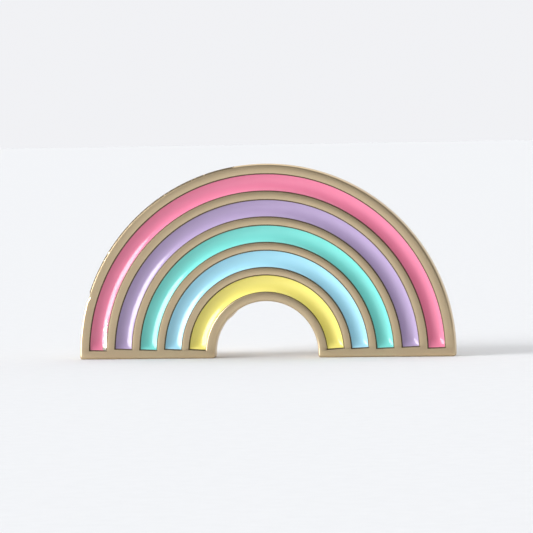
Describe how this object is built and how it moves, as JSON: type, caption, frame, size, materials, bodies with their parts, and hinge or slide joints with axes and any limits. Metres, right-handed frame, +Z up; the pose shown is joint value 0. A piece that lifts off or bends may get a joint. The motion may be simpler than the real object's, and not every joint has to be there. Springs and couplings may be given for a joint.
{
  "type": "enamel pin",
  "caption": "Half-ring soft-enamel lapel pin with recessed colour bands in a metal plate, held on by posts and butterfly clutches.",
  "frame": {"origin": "on the plate's flat back face, midway between the two posts", "axes": "+X to the right of someone facing the enamelled face, +Y out of the plate's back along the posts, +Z up from the flat feet towards the crown"},
  "size_m": [0.032, 0.0102, 0.0164],
  "materials": {
    "pale_gold_plating": "satin polished pale gold plating on a die-struck plate",
    "enamel_pink": "glossy soft enamel",
    "enamel_lavender": "glossy soft enamel",
    "enamel_mint": "glossy soft enamel",
    "enamel_blue": "glossy soft enamel",
    "enamel_yellow": "glossy soft enamel",
    "solder": "dull silver solder",
    "clutch_brass": "bright stamped brass",
    "spring_wire": "drawn steel wire"
  },
  "bodies": {
    "badge": {"base_plate": "pale_gold_plating", "enamel_pink": "enamel_pink", "enamel_lavender": "enamel_lavender", "enamel_mint": "enamel_mint", "enamel_blue": "enamel_blue", "enamel_yellow": "enamel_yellow", "left_post": "pale_gold_plating", "left_solder_fillet": "solder", "right_post": "pale_gold_plating", "right_solder_fillet": "solder"},
    "left_cap": {"left_clutch_cap": "clutch_brass"},
    "left_frame": {"left_clutch_housing": "clutch_brass", "left_clutch_spring": "spring_wire"},
    "left_outer_tab": {"left_outer_wing": "clutch_brass"},
    "left_inner_tab": {"left_inner_wing": "clutch_brass"},
    "right_cap": {"right_clutch_cap": "clutch_brass"},
    "right_frame": {"right_clutch_housing": "clutch_brass", "right_clutch_spring": "spring_wire"},
    "right_outer_tab": {"right_outer_wing": "clutch_brass"},
    "right_inner_tab": {"right_inner_wing": "clutch_brass"}
  },
  "joints": [
    {"name": "left_clutch_pull", "type": "slide", "parent": "badge", "child": "left_cap", "axis": [0, 1, 0], "range_m": [0, 0.007], "deforming": ["left_clutch_spring"]},
    {"name": "left_clutch_turn", "type": "hinge", "parent": "left_cap", "child": "left_frame", "pos_m": [-0.0072, 0.0028, 0], "axis": [0, 1, 0], "continuous": true},
    {"name": "left_outer_squeeze", "type": "hinge", "parent": "left_frame", "child": "left_outer_tab", "pos_m": [-0.0087, 0.0042, 0], "axis": [0, 0, -1], "range_deg": [0, 12], "stiffness_Nm_per_rad": 0.01, "deforming": ["left_clutch_spring"]},
    {"name": "left_inner_squeeze", "type": "hinge", "parent": "left_frame", "child": "left_inner_tab", "pos_m": [-0.0057, 0.0042, 0], "axis": [0, 0, 1], "range_deg": [0, 12], "stiffness_Nm_per_rad": 0.01},
    {"name": "right_clutch_pull", "type": "slide", "parent": "badge", "child": "right_cap", "axis": [0, 1, 0], "range_m": [0, 0.007], "deforming": ["right_clutch_spring"]},
    {"name": "right_clutch_turn", "type": "hinge", "parent": "right_cap", "child": "right_frame", "pos_m": [0.0072, 0.0028, 0], "axis": [0, 1, 0], "continuous": true},
    {"name": "right_outer_squeeze", "type": "hinge", "parent": "right_frame", "child": "right_outer_tab", "pos_m": [0.0087, 0.0042, 0], "axis": [0, 0, 1], "range_deg": [0, 12], "stiffness_Nm_per_rad": 0.01, "deforming": ["right_clutch_spring"]},
    {"name": "right_inner_squeeze", "type": "hinge", "parent": "right_frame", "child": "right_inner_tab", "pos_m": [0.0057, 0.0042, 0], "axis": [0, 0, -1], "range_deg": [0, 12], "stiffness_Nm_per_rad": 0.01}
  ],
  "couplings": [
    {"joint": "left_inner_squeeze", "follows": "left_outer_squeeze", "ratio": 1},
    {"joint": "right_inner_squeeze", "follows": "right_outer_squeeze", "ratio": 1}
  ]
}
